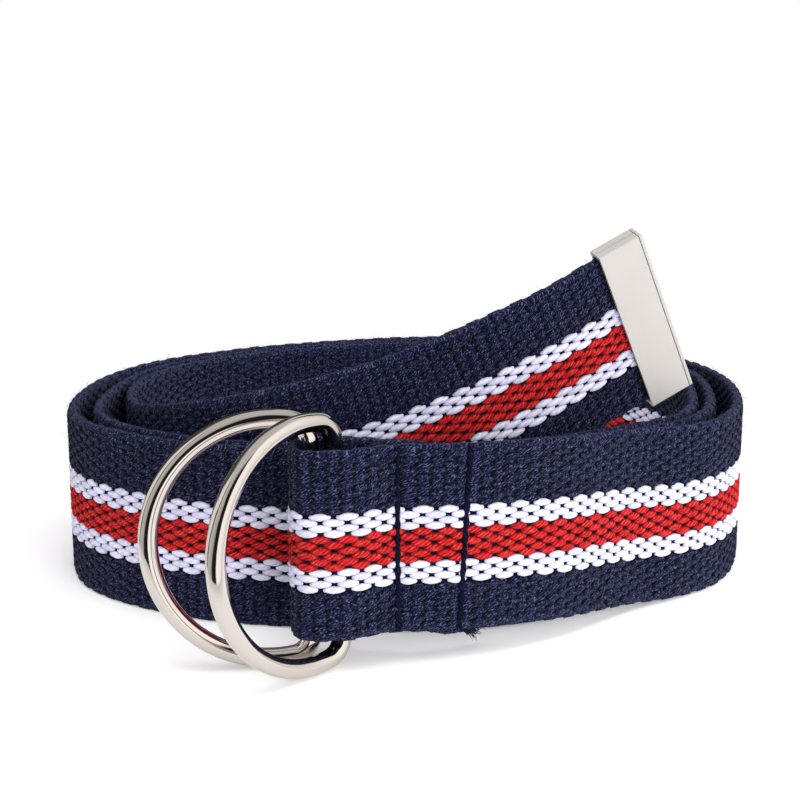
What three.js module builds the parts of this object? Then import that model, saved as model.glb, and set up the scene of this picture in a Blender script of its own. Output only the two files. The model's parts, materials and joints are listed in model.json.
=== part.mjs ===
// A double ring belt: one webbing strap, rolled up and stood on its edge, with two
// rings held in a sewn loop at one end and a folded metal tip on the other.
//
// Millimetres, +Z up. The strap stands on the surface at Z = 0, the loop with the
// rings faces -Y, and the origin is under the middle of the belt's box.

import * as THREE from 'three';
import { mergeVertices } from 'three/addons/utils/BufferGeometryUtils.js';

const degrees = THREE.MathUtils.degToRad;

// Webbing: a woven strap, stiff enough to stand on its edge.
const webbing = {
  width: 38,
  thickness: 3.2,
  edgeCut: 0.8,
};

// The least room between two pieces that lie against each other.
const clearance = 0.35;

// Rings: round wire bent into a D. The straight bar stands in the strap's loop.
const rings = {
  wire: 3.8,
  height: 50.6,
  depth: 34.7,
  corner: 4.5,
};

// How each ring has come to rest. swing turns it about its bar towards the front,
// from pointing straight on past the fold. lean tips its upper edge towards the
// front, and roll lifts its belly.
const ringPoses = {
  front: { swing: degrees(42), lean: degrees(-4.5), roll: degrees(1.5) },
  rear: { swing: degrees(4), lean: degrees(-4), roll: 0 },
};

// Loop: the strap's end is folded round both bars and sewn down behind itself.
// seam is where the two layers meet, measured back from the start of the coil, and
// the flap runs on past it for flapLength. bend turns the loop from the coil's way.
const loop = {
  barRoom: 1.9,
  barPlay: 1.1,
  seam: 2.6,
  toFrontBar: 11.2,
  flapLength: 16.5,
  bend: degrees(-6),
};

// Tip: a plate folded round the strap's end, closed but for its mouth.
const tip = {
  plate: 0.75,
  length: 10.2,
  sideRoom: 0.3,
  pressed: 2.3,
  cornerCut: 1.0,
};

// Coil: how far the strap's outer face lies from the middle, as seen from above.
const coilHalfWidth = 77;

// First turn, from the loop at the front by the right, the back and the left.
// reach is the distance from the middle to the outer face, as a share of the
// coil's half width, for each sixteenth of a turn.
const firstTurn = [
  { side: 'front', reach: 0.994 },
  { reach: 0.92 },
  { side: 'front right', reach: 0.876 },
  { reach: 0.982 },
  { side: 'right', reach: 1.02 },
  { reach: 1.05 },
  { side: 'back right', reach: 1.026 },
  { reach: 0.955 },
  { side: 'back', reach: 0.892 },
  { reach: 0.861 },
  { side: 'back left', reach: 0.9 },
  { reach: 0.973 },
  { side: 'left', reach: 1.008 },
  { reach: 1.028 },
  { side: 'front left', reach: 0.922 },
  { reach: 0.812 },
];

// Later turns lie inside the turn before. slack is the air between the two over
// the clearance, as a share of the webbing's thickness.
const laterTurns = [
  { turn: 1.0, slack: 4.0 },
  { turn: 1.0625, slack: 2.2 },
  { turn: 1.125, slack: 0.7 },
  { turn: 1.1875, slack: 0.6 },
  { turn: 1.25, slack: 0.85 },
  { turn: 1.375, slack: 0.15 },
  { turn: 1.5, slack: 0 },
  { turn: 1.625, slack: 0 },
  { turn: 1.75, slack: 0.8 },
  { turn: 1.875, slack: 0.3 },
  { turn: 2.0, slack: 0 },
  { turn: 2.125, slack: 0 },
  { turn: 2.25, slack: 0.15 },
  { turn: 2.375, slack: 0 },
  { turn: 3.0, slack: 0 },
];

// The strap hangs half way up the rings at the loop and comes down to the surface
// on the right. lift is a share of the lower edge's height at the loop.
const liftRows = [
  { turn: 0, lift: 1 },
  { turn: 0.05, lift: 0.8 },
  { turn: 0.1, lift: 0.45 },
  { turn: 0.15, lift: 0.08 },
  { turn: 0.18, lift: 0 },
  { turn: 3, lift: 0 },
];
const loopLift = (rings.height - webbing.width) / 2;

// Free end: the middle of the strap from where it leaves the coil to the tip, and a
// last row for the way that the stiff end in the tip points.
// x and y are shares of the coil's half width, rise is the height of the middle as
// a share of the webbing's width, and lean, in degrees, tips the upper edge towards
// the front. leavesCoilAt and leadTurn count turns: the curve starts two steps of
// leadTurn earlier, so that it leaves the coil smoothly.
const leavesCoilAt = 2.72;
const leadTurn = 0.06;
const freeEnd = [
  { x: -0.780, y: -0.270, rise: 0.53, lean: 0 },
  { x: -0.541, y: -0.517, rise: 0.66, lean: 0 },
  { x: -0.222, y: -0.628, rise: 0.84, lean: 2 },
  { x: 0.064, y: -0.603, rise: 1.035, lean: 8 },
  { x: 0.340, y: -0.545, rise: 1.28, lean: 13 },
  { x: 0.548, y: -0.483, rise: 1.5, lean: 16 },
  { x: 0.685, y: -0.455, rise: 1.65, lean: 16 },
];

// How far past the coil's start its first way is read, in turns.
const startTurn = 0.005;

// Turns of the coil that are worked out, past the place where the free end leaves it.
const coilTurns = 3;

const stepsPerTurn = 60;
const flapSteps = 3;
const foldSteps = 10;
const easeSteps = 7;
const freeEndSteps = 34;
const tipSteps = 5;
const ringSteps = 72;
const ringSegments = 64;
const wireSides = 12;

// A smooth value between evenly spaced numbers, by the cubic of Catmull and Rom.
function smoothBetween(values, at) {
  const i = THREE.MathUtils.clamp(Math.floor(at), 0, values.length - 2);
  const before = values[i - 1] ?? 2 * values[0] - values[1];
  const after = values[i + 2] ?? 2 * values[i + 1] - values[i];
  const slopeFrom = (values[i + 1] - before) / 2;
  const slopeTo = (after - values[i]) / 2;
  const s = at - i;
  const s2 = s * s;
  const s3 = s2 * s;
  return (2 * s3 - 3 * s2 + 1) * values[i] + (s3 - 2 * s2 + s) * slopeFrom
    + (3 * s2 - 2 * s3) * values[i + 1] + (s3 - s2) * slopeTo;
}

// A value on the straight line between two rows of a table.
function rowValue(rows, turn, column) {
  const next = Math.max(rows.findIndex((row) => row.turn >= turn), 1);
  const [from, to] = [rows[next - 1], rows[next]];
  const share = (turn - from.turn) / (to.turn - from.turn);
  return THREE.MathUtils.lerp(from[column], to[column], share);
}

// Reach of the outer face for each row of the first turn and of the turns inside it.
const reaches = firstTurn.map((row) => row.reach * coilHalfWidth);
const rowsPerTurn = firstTurn.length;
for (let i = rowsPerTurn; i <= coilTurns * rowsPerTurn; i += 1) {
  const slack = rowValue(laterTurns, i / rowsPerTurn, 'slack') * webbing.thickness;
  reaches.push(reaches[i - rowsPerTurn] - webbing.thickness - clearance - slack);
}

// The middle of the strap in the coil, moved inwards by inset.
function coilPoint(turn, inset = 0) {
  const reach = smoothBetween(reaches, turn * rowsPerTurn) - webbing.thickness / 2 - inset;
  const angle = turn * 2 * Math.PI;
  const lift = rowValue(liftRows, turn, 'lift') * loopLift;
  const height = lift + webbing.width / 2;
  return new THREE.Vector3(reach * Math.sin(angle), -reach * Math.cos(angle), height);
}

// The loop's own frame: along points to the right where the coil starts, and front
// points to the outside.
const start = coilPoint(0);
const along = coilPoint(startTurn).sub(start).setZ(0).normalize()
  .applyAxisAngle(new THREE.Vector3(0, 0, 1), loop.bend);
const front = new THREE.Vector3(along.y, -along.x, 0);
const layerStep = webbing.thickness + clearance;
const barSpacing = rings.wire + clearance + loop.barPlay;
const foldSpread = rings.wire / 2 + loop.barRoom + webbing.thickness / 2;
const foldEnd = rings.wire / 2 + clearance + webbing.thickness / 2;

function loopPoint(s, q) {
  return start.clone().addScaledVector(along, s).addScaledVector(front, q);
}

const middleLayer = -layerStep / 2;
const frontBar = -loop.seam - loop.toFrontBar;
const rearBar = frontBar - barSpacing;

// Half the spread of the loop's two layers, from the seam to the bars.
function halfSpread(s) {
  const share = THREE.MathUtils.smoothstep(-s, loop.seam, -frontBar);
  return THREE.MathUtils.lerp(layerStep / 2, foldSpread, share);
}

// Stations of the strap from the flap's cut end, round the fold, to the coil.
function loopStations() {
  const stations = [];
  const firstTurnLength = 2 * Math.PI * coilHalfWidth * firstTurn[0].reach;
  const flapTurn = (loop.flapLength - loop.seam) / firstTurnLength;
  for (let i = flapSteps; i > 0; i -= 1) {
    stations.push(coilPoint(flapTurn * i / flapSteps, layerStep));
  }
  for (let i = 0; i <= easeSteps; i += 1) {
    const s = THREE.MathUtils.lerp(-loop.seam, frontBar, i / easeSteps);
    stations.push(loopPoint(s, middleLayer - halfSpread(s)));
  }
  for (let i = 0; i <= foldSteps; i += 1) {
    const angle = -Math.PI / 2 - Math.PI * i / foldSteps;
    const s = rearBar + foldEnd * Math.cos(angle);
    stations.push(loopPoint(s, middleLayer + foldSpread * Math.sin(angle)));
  }
  for (let i = easeSteps; i >= 0; i -= 1) {
    const s = THREE.MathUtils.lerp(-loop.seam, frontBar, i / easeSteps);
    stations.push(loopPoint(s, middleLayer + halfSpread(s)));
  }
  return stations.map((point) => ({ point, lean: 0 }));
}

// Stations of the coil, from the loop to where the free end leaves it.
function coilStations() {
  const stations = [];
  const count = Math.round(leavesCoilAt * stepsPerTurn);
  for (let i = 0; i < count; i += 1) {
    stations.push({ point: coilPoint(leavesCoilAt * i / count), lean: 0 });
  }
  return stations;
}

// Stations of the free end, on one smooth curve that starts in the coil.
function freeStations() {
  const rows = freeEnd.map((row) => new THREE.Vector3(
    row.x * coilHalfWidth, row.y * coilHalfWidth, row.rise * webbing.width,
  ));
  const lead = [2, 1, 0].map((back) => coilPoint(leavesCoilAt - back * leadTurn));
  const leans = [...lead.map(() => 0), ...freeEnd.map((row) => row.lean)];
  const curve = new THREE.CatmullRomCurve3([...lead, ...rows], false, 'centripetal');
  const spans = leans.length - 1;
  const first = (lead.length - 1) / spans;
  const last = (spans - 1) / spans;
  const stations = [];
  for (let i = 0; i <= freeEndSteps; i += 1) {
    const at = THREE.MathUtils.lerp(first, last, i / freeEndSteps);
    stations.push({ point: curve.getPoint(at), lean: smoothBetween(leans, at * spans) });
  }
  const stiffFrom = stations[stations.length - 1];
  const heading = curve.getTangent(last);
  for (let i = 1; i <= tipSteps; i += 1) {
    const ahead = (strapInTip + pressedOver) * i / tipSteps;
    const point = stiffFrom.point.clone().addScaledVector(heading, ahead);
    stations.push({ point, lean: stiffFrom.lean });
  }
  return stations;
}

// Adds to each station the way it runs, the way across its thickness, outwards,
// and the way up its width.
function withFrames(stations) {
  return stations.map((station, i) => {
    const before = stations[Math.max(i - 1, 0)].point;
    const after = stations[Math.min(i + 1, stations.length - 1)].point;
    const run = after.clone().sub(before).normalize();
    const level = new THREE.Vector3(run.y, -run.x, 0).normalize();
    const upright = new THREE.Vector3().crossVectors(level, run);
    const lean = degrees(station.lean);
    const up = upright.multiplyScalar(Math.cos(lean)).addScaledVector(level, Math.sin(lean));
    const out = new THREE.Vector3().crossVectors(run, up).normalize();
    return { ...station, run, out, up };
  });
}

// The eight corners of a flat bar's section with cut edges.
function cutSection(width, thickness, cut) {
  const [w, t] = [width / 2, thickness / 2];
  return [
    [t, -w + cut], [t, w - cut], [t - cut, w], [-t + cut, w],
    [-t, w - cut], [-t, -w + cut], [-t + cut, -w], [t - cut, -w],
  ];
}

// Places a section's corners at a station, moved along its run by ahead.
function placeSection(station, corners, ahead = 0) {
  return corners.map(([t, w]) => station.point.clone()
    .addScaledVector(station.out, t)
    .addScaledVector(station.up, w)
    .addScaledVector(station.run, ahead));
}

// A closed body through sections of equally many corners, with both ends closed.
function skin(sections) {
  const corners = sections[0].length;
  const positions = sections.flat().flatMap((p) => [p.x, p.y, p.z]);
  const faces = [];
  for (let i = 0; i < sections.length - 1; i += 1) {
    for (let j = 0; j < corners; j += 1) {
      const a = i * corners + j;
      const b = i * corners + (j + 1) % corners;
      faces.push(a, a + corners, b, b, a + corners, b + corners);
    }
  }
  const last = (sections.length - 1) * corners;
  for (let j = 1; j < corners - 1; j += 1) {
    faces.push(0, j, j + 1);
    faces.push(last, last + j + 1, last + j);
  }
  const geometry = new THREE.BufferGeometry();
  geometry.setAttribute('position', new THREE.Float32BufferAttribute(positions, 3));
  geometry.setIndex(faces);
  return geometry;
}

// The strap's end lies in the tip as far as its closed end, and is pressed thin over
// a short stretch before the mouth.
const strapInTip = tip.length - tip.plate - clearance;
const pressedOver = webbing.thickness;

const route = withFrames([...loopStations(), ...coilStations(), ...freeStations()]);
const cutEnd = route[route.length - 1];

// The strap: full thickness as far as the tip's mouth, and pressed thin inside it.
function strapGeometry() {
  const sections = route.map((station) => {
    const toEnd = station.point.distanceTo(cutEnd.point);
    const share = THREE.MathUtils.smoothstep(toEnd, strapInTip, strapInTip + pressedOver);
    const thickness = THREE.MathUtils.lerp(tip.pressed, webbing.thickness, share);
    const cut = Math.min(webbing.edgeCut, thickness / 3);
    return placeSection(station, cutSection(webbing.width, thickness, cut));
  });
  return skin(sections);
}

// The tip: a cap over the strap's end, from the floor of its pocket out round the
// mouth and back to its closed end.
function tipGeometry() {
  const pocket = {
    width: webbing.width + 2 * tip.sideRoom,
    thickness: tip.pressed + 2 * clearance,
  };
  const outer = {
    width: pocket.width + 2 * tip.plate,
    thickness: pocket.thickness + 2 * tip.plate,
  };
  const mouth = clearance + tip.plate - tip.length;
  const floor = clearance;
  const end = clearance + tip.plate;
  const inner = cutSection(pocket.width, pocket.thickness, webbing.edgeCut / 2);
  const rim = cutSection(outer.width, outer.thickness, tip.cornerCut);
  const cap = cutSection(
    outer.width - 2 * tip.cornerCut, outer.thickness - tip.cornerCut, tip.cornerCut / 2,
  );
  return skin([
    placeSection(cutEnd, inner, floor),
    placeSection(cutEnd, inner, mouth),
    placeSection(cutEnd, rim, mouth),
    placeSection(cutEnd, rim, end - tip.cornerCut),
    placeSection(cutEnd, cap, end),
  ]);
}

// The D that a ring's wire is bent to, with its bar on the second axis.
function ringOutline() {
  const radius = (rings.height - rings.wire) / 2;
  const middle = rings.depth - rings.wire - radius;
  const barHalf = Math.sqrt((radius - rings.corner) ** 2 - (middle - rings.corner) ** 2);
  const bend = Math.atan2(barHalf, middle - rings.corner);
  const outline = new THREE.Path();
  outline.moveTo(0, -barHalf);
  outline.lineTo(0, barHalf);
  outline.absarc(rings.corner, barHalf, rings.corner, Math.PI, Math.PI - bend, true);
  outline.absarc(middle, 0, radius, Math.PI - bend, bend - Math.PI, true);
  outline.absarc(rings.corner, -barHalf, rings.corner, bend - Math.PI, -Math.PI, true);
  return outline.getSpacedPoints(ringSteps).slice(0, -1);
}

// Where a ring stands: the middle of its bar, the way up the bar and the way from
// the bar to the belly. Its lowest point is on the surface.
function ringStance(bar, pose) {
  const level = along.clone().multiplyScalar(-Math.cos(pose.swing))
    .addScaledVector(front, Math.sin(pose.swing));
  const side = new THREE.Vector3(-level.y, level.x, 0);
  const upright = new THREE.Vector3(0, 0, Math.cos(pose.lean))
    .addScaledVector(side, Math.sin(pose.lean));
  const away = level.clone().multiplyScalar(Math.cos(pose.roll))
    .addScaledVector(upright, Math.sin(pose.roll));
  const up = upright.clone().multiplyScalar(Math.cos(pose.roll))
    .addScaledVector(level, -Math.sin(pose.roll));
  const lowest = Math.min(...ringOutline().map((p) => away.z * p.x + up.z * p.y));
  const middle = loopPoint(bar, middleLayer).setZ(rings.wire / 2 - lowest);
  return { middle, up, away };
}

// A ring's wire: a straight bar in the loop, two bent corners and the round belly.
function ringGeometry(bar, pose) {
  const { middle, up, away } = ringStance(bar, pose);
  const points = ringOutline()
    .map((p) => middle.clone().addScaledVector(away, p.x).addScaledVector(up, p.y));
  const curve = new THREE.CatmullRomCurve3(points, true);
  return new THREE.TubeGeometry(curve, ringSegments, rings.wire / 2, wireSides, true);
}

// One body with no doubled corners.
const weldWithin = 1e-4;

function welded(geometry) {
  geometry.deleteAttribute('normal');
  geometry.deleteAttribute('uv');
  const body = mergeVertices(geometry, weldWithin);
  body.computeVertexNormals();
  return body;
}

const webbingCloth = new THREE.MeshStandardMaterial({ color: '#20264a', roughness: 0.95, metalness: 0 });
const polishedNickel = new THREE.MeshStandardMaterial({ color: '#dcd8d2', roughness: 0.12, metalness: 1 });
const satinNickel = new THREE.MeshStandardMaterial({ color: '#e0dcd6', roughness: 0.35, metalness: 1 });

const pieces = [
  ['strap', strapGeometry(), webbingCloth],
  ['ring_front', ringGeometry(frontBar, ringPoses.front), polishedNickel],
  ['ring_rear', ringGeometry(rearBar, ringPoses.rear), polishedNickel],
  ['end_tip', tipGeometry(), satinNickel],
];

const belt = new THREE.Group();
for (const [name, geometry, material] of pieces) {
  const mesh = new THREE.Mesh(welded(geometry), material);
  mesh.name = name;
  belt.add(mesh);
}

// Moves the belt so that the origin is under the middle of its box.
const box = new THREE.Box3().setFromObject(belt);
const middle = box.getCenter(new THREE.Vector3());
belt.position.set(-middle.x, -middle.y, -box.min.z);

export default belt;
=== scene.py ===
"""Looks of a double ring belt: a striped webbing strap, rolled up, with two D rings and a metal tip.

The strap's parts are made flat, on the straight belt, and are then bent along its route, as the
woven belt itself is. A flat place is given by its distance from the flap's cut end, its height
across the width and its height over the middle of the thickness.
"""

import json
import logging
import math
from dataclasses import dataclass, field
from enum import Enum
from typing import NamedTuple

import bmesh
import bpy
import numpy as np
from mathutils import Matrix, Vector

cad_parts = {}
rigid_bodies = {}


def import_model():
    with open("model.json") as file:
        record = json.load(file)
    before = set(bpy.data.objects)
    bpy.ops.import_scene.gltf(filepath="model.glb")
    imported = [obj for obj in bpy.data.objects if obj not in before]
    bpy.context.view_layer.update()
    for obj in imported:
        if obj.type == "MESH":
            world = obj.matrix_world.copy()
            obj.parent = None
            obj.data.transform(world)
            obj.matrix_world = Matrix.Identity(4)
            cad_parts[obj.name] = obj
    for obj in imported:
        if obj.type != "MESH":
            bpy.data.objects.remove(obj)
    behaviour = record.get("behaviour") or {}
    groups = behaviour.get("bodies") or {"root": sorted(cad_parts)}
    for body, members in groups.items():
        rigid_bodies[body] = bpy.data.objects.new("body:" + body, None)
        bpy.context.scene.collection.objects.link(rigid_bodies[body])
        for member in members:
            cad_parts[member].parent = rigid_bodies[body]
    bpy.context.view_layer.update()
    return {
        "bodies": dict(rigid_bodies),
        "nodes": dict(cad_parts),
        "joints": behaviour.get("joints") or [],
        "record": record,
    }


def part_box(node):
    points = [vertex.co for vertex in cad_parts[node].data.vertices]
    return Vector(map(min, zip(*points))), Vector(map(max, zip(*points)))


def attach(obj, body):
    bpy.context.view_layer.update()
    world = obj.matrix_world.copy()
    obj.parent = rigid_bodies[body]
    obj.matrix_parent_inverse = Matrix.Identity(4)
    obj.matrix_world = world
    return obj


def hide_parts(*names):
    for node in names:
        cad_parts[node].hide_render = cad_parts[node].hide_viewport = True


MM = 0.001
LOG = logging.getLogger("belt")


class Face(Enum):
    """The strap's two faces: the one that shows on the roll, and the one towards its middle."""

    OUTER = 1
    INNER = -1


class Stripe(Enum):
    """The colours of warp yarn in the webbing."""

    NAVY = "navy"
    WHITE = "white"
    RED = "red"


class StripeBand(NamedTuple):
    """One stripe: its yarn and how many rows of it lie side by side."""

    stripe: Stripe
    rows: int


class SlackRow(NamedTuple):
    """Air between two layers of the roll, as a share of the thickness, at a place in turns."""

    turn: float
    slack: float


class LiftRow(NamedTuple):
    """Height of the lower edge, as a share of its height at the loop, at a place in turns."""

    turn: float
    lift: float


class FreeRow(NamedTuple):
    """Middle of the free end: shares of the roll's half width and of the webbing's width."""

    x: float
    y: float
    rise: float
    lean: float


@dataclass(frozen=True)
class Webbing:
    """The woven strap and its rows of warp floats, from the upper edge down."""

    width: float = 38.0 * MM
    thickness: float = 3.2 * MM
    clearance: float = 0.35 * MM
    float_pitch: float = 5.05 * MM
    drawn_in: float = 0.016
    bands: tuple[StripeBand, ...] = (
        StripeBand(Stripe.NAVY, 11),
        StripeBand(Stripe.WHITE, 4),
        StripeBand(Stripe.RED, 6),
        StripeBand(Stripe.WHITE, 4),
        StripeBand(Stripe.NAVY, 9),
    )

    @property
    def row_pitch(self) -> float:
        """Distance between two rows of floats."""
        return self.width / sum(band.rows for band in self.bands)

    def rows(self, stripe: Stripe) -> list[int]:
        """Numbers of the rows that are woven in one colour.

        Args:
            stripe: The colour.

        Returns:
            Row numbers, counted from the upper edge.
        """
        numbers: list[int] = []
        first = 0
        for band in self.bands:
            if band.stripe is stripe:
                numbers.extend(range(first, first + band.rows))
            first += band.rows
        return numbers


@dataclass(frozen=True)
class LoopSizes:
    """The sewn loop that holds the rings' bars, as the model has it."""

    wire: float = 3.8 * MM
    ring_height: float = 50.6 * MM
    bar_room: float = 1.9 * MM
    bar_play: float = 1.1 * MM
    seam: float = 2.6 * MM
    to_front_bar: float = 11.2 * MM
    flap_length: float = 16.5 * MM
    bend: float = math.radians(-6.0)


@dataclass(frozen=True)
class TipSizes:
    """The folded metal tip."""

    plate: float = 0.75 * MM
    length: float = 10.2 * MM
    side_room: float = 0.3 * MM
    pressed: float = 2.3 * MM


def smooth_between(values: np.ndarray, at: np.ndarray) -> np.ndarray:
    """Smooth values between evenly spaced numbers, by the cubic of Catmull and Rom.

    Args:
        values: The numbers.
        at: Places between them, counted in numbers from the first.

    Returns:
        A value for each place.
    """
    at = np.asarray(at, float)
    i = np.clip(np.floor(at).astype(int), 0, len(values) - 2)
    padded = np.concatenate(([2 * values[0] - values[1]], values, [2 * values[-1] - values[-2]]))
    before, here, after, beyond = (padded[i + k] for k in range(4))
    slope_from = (after - before) / 2
    slope_to = (beyond - here) / 2
    s = at - i
    return ((2 * s**3 - 3 * s**2 + 1) * here + (s**3 - 2 * s**2 + s) * slope_from
            + (3 * s**2 - 2 * s**3) * after + (s**3 - s**2) * slope_to)


def smoothstep(value: np.ndarray, low: float, high: float) -> np.ndarray:
    """A soft step from 0 at low to 1 at high."""
    share = np.clip((np.asarray(value, float) - low) / (high - low), 0, 1)
    return share * share * (3 - 2 * share)


def through_points(points: np.ndarray, at: np.ndarray) -> np.ndarray:
    """Places on the centripetal Catmull-Rom curve through points.

    Args:
        points: The points, one a row.
        at: Places, counted in points from the first.

    Returns:
        A point for each place.
    """
    padded = np.vstack((2 * points[0] - points[1], points, 2 * points[-1] - points[-2]))
    i = np.clip(np.floor(at).astype(int), 0, len(points) - 2)
    s = (at - i)[:, None]
    p0, p1, p2, p3 = (padded[i + k] for k in range(4))
    spans = ((p0, p1), (p1, p2), (p2, p3))
    d0, d1, d2 = (np.sqrt(np.linalg.norm(b - a, axis=1))[:, None] for a, b in spans)
    t1 = ((p1 - p0) / d0 - (p2 - p0) / (d0 + d1) + (p2 - p1) / d1) * d1
    t2 = ((p2 - p1) / d1 - (p3 - p1) / (d1 + d2) + (p3 - p2) / d2) * d1
    return p1 + t1 * s + (-3 * p1 + 3 * p2 - 2 * t1 - t2) * s**2 + (2 * p1 - 2 * p2 + t1 + t2) * s**3


def bell(distance: np.ndarray, reach: float) -> np.ndarray:
    """A bell curve that is 1 at no distance and fades over its reach."""
    return np.exp(-(distance / reach) ** 2)


def unit(vectors: np.ndarray) -> np.ndarray:
    """The vectors, one a row, at length 1."""
    return vectors / np.linalg.norm(vectors, axis=1)[:, None]


@dataclass
class StrapRoute:
    """The way the strap runs: the flap, the fold round the bars, the roll and the free end."""

    webbing: Webbing = field(default_factory=Webbing)
    loop: LoopSizes = field(default_factory=LoopSizes)
    tip: TipSizes = field(default_factory=TipSizes)
    coil_half_width: float = 77.0 * MM
    leaves_coil_at: float = 2.72
    steps_per_turn: int = 60
    fold_steps: int = 10
    ease_steps: int = 7
    flap_steps: int = 3
    free_steps: int = 34
    tip_steps: int = 5
    sub_steps: int = 12
    fine_step: float = 0.4 * MM
    lead_turns: tuple[float, ...] = (-0.12, -0.06, 0.0)
    stitches_apart: float = 13.3 * MM
    # The thread presses the webbing's relief down by this share, near each row of stitches.
    stitch_pinch: float = 0.46
    stitch_reach: float = 0.95 * MM
    # Round the bars the webbing is pulled flat, and its middle moves in.
    fold_pinch: float = 0.42
    fold_reach: float = 5.5 * MM
    fold_inset: float = 0.45 * MM
    inset_reach: float = 6 * MM
    # The loop is drawn in across its width, less and less over this length past the stitches.
    narrow_fade: float = 60 * MM
    # The flap's cut end sags: all of it before the first place, and nothing after the second.
    flap_droop: float = 2.2 * MM
    droop_places: tuple[float, float] = (5 * MM, 14 * MM)
    # Reach of the first turn's outer face for each sixteenth, from the front by the right.
    first_turn: tuple[float, ...] = (
        0.994, 0.92, 0.876, 0.982, 1.02, 1.05, 1.026, 0.955,
        0.892, 0.861, 0.9, 0.973, 1.008, 1.028, 0.922, 0.812,
    )
    later_turns: tuple[SlackRow, ...] = (
        SlackRow(1.0, 4.0), SlackRow(1.0625, 2.2), SlackRow(1.125, 0.7), SlackRow(1.1875, 0.6),
        SlackRow(1.25, 0.85), SlackRow(1.375, 0.15), SlackRow(1.5, 0.0), SlackRow(1.625, 0.0),
        SlackRow(1.75, 0.8), SlackRow(1.875, 0.3), SlackRow(2.0, 0.0), SlackRow(2.125, 0.0),
        SlackRow(2.25, 0.15), SlackRow(2.375, 0.0), SlackRow(3.0, 0.0),
    )
    lift_rows: tuple[LiftRow, ...] = (
        LiftRow(0.0, 1.0), LiftRow(0.05, 0.8), LiftRow(0.1, 0.45), LiftRow(0.15, 0.08),
        LiftRow(0.18, 0.0), LiftRow(3.0, 0.0),
    )
    free_end: tuple[FreeRow, ...] = (
        FreeRow(-0.780, -0.270, 0.53, 0), FreeRow(-0.541, -0.517, 0.66, 0),
        FreeRow(-0.222, -0.628, 0.84, 2), FreeRow(0.064, -0.603, 1.035, 8),
        FreeRow(0.340, -0.545, 1.28, 13), FreeRow(0.548, -0.483, 1.5, 16),
        FreeRow(0.685, -0.455, 1.65, 16),
    )

    def __post_init__(self) -> None:
        """Lays the stations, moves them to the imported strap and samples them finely."""
        self._reaches = self._coil_reaches()
        stations, leans = self._stations()
        run, out, up = self._frames(stations, leans)
        half_width, half_thick = self.webbing.width / 2, self.webbing.thickness / 2
        corners = np.concatenate([stations + u * half_width * up + t * half_thick * out
                                  for u in (-1, 1) for t in (-1, 1)])
        low, high = (np.array(corner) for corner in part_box("strap"))
        middle = (corners.min(0) + corners.max(0)) / 2
        shift = (low + high) / 2 - middle
        shift[2] = low[2] - corners[:, 2].min()
        self.misfit = float(np.abs(corners.max(0) + shift - high).max())
        stations = stations + shift
        at = np.linspace(0, len(stations) - 1, self.sub_steps * (len(stations) - 1) + 1)
        fine = through_points(stations, at)
        lengths = np.concatenate(([0.0], np.cumsum(np.linalg.norm(np.diff(fine, axis=0), axis=1))))
        self.length = float(lengths[-1])
        self.places = np.linspace(0, self.length, int(self.length / self.fine_step) + 1)
        self.middles = np.column_stack([np.interp(self.places, lengths, fine[:, k]) for k in range(3)])
        fine_leans = np.interp(np.interp(self.places, lengths, at), np.arange(len(leans)), leans)
        self.runs, self.outs, self.ups = self._frames(self.middles, fine_leans)
        station_places = np.interp(np.arange(len(stations)), at, lengths)
        self.flap_seam_place = float(station_places[self.flap_steps])
        fold_start = self.flap_steps + self.ease_steps + 1
        fold_end = fold_start + self.fold_steps + 1
        self.fold_place = float(station_places[fold_start + self.fold_steps // 2])
        self.front_seam_place = float(station_places[fold_end + self.ease_steps])
        self.mouth_place = self.length - (self.tip.length - self.tip.plate - self.webbing.clearance)

    def _coil_reaches(self) -> np.ndarray:
        """Works out how far the roll's outer face reaches from its middle.

        Returns:
            The reach at each sixteenth of a turn, for three turns.
        """
        reaches = [share * self.coil_half_width for share in self.first_turn]
        per_turn = len(self.first_turn)
        turns = [row.turn for row in self.later_turns]
        slacks = [row.slack for row in self.later_turns]
        step = self.webbing.thickness + self.webbing.clearance
        for i in range(per_turn, 3 * per_turn + 1):
            slack = float(np.interp(i / per_turn, turns, slacks)) * self.webbing.thickness
            reaches.append(reaches[i - per_turn] - step - slack)
        return np.array(reaches)

    def _coil_points(self, turns: np.ndarray, inset: float = 0.0) -> np.ndarray:
        """Middle of the strap in the roll.

        Args:
            turns: Places in turns from the loop.
            inset: How far inwards the points move.

        Returns:
            A point for each place.
        """
        turns = np.atleast_1d(np.asarray(turns, float))
        reach = smooth_between(self._reaches, turns * len(self.first_turn))
        reach = reach - self.webbing.thickness / 2 - inset
        rows = self.lift_rows
        lift = np.interp(turns, [row.turn for row in rows], [row.lift for row in rows])
        height = lift * (self.loop.ring_height - self.webbing.width) / 2 + self.webbing.width / 2
        angle = 2 * np.pi * turns
        return np.column_stack((reach * np.sin(angle), -reach * np.cos(angle), height))

    def _stations(self) -> tuple[np.ndarray, np.ndarray]:
        """Lays the stations of the strap's middle, from the flap's cut end to the tip.

        Returns:
            The stations, and how far the strap leans outwards at each, in radians.
        """
        web, loop = self.webbing, self.loop
        start = self._coil_points(0.0)[0]
        toward = self._coil_points(0.005)[0] - start
        angle = math.atan2(toward[1], toward[0]) + loop.bend
        along = np.array([math.cos(angle), math.sin(angle), 0.0])
        front = np.array([along[1], -along[0], 0.0])
        step = web.thickness + web.clearance
        middle_layer = -step / 2
        front_bar = -loop.seam - loop.to_front_bar
        rear_bar = front_bar - (loop.wire + web.clearance + loop.bar_play)
        spread = loop.wire / 2 + loop.bar_room + web.thickness / 2
        fold_end = loop.wire / 2 + web.clearance + web.thickness / 2

        def place(s: float, q: float) -> np.ndarray:
            """A point in the loop's own frame."""
            return start + along * s + front * q

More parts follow.
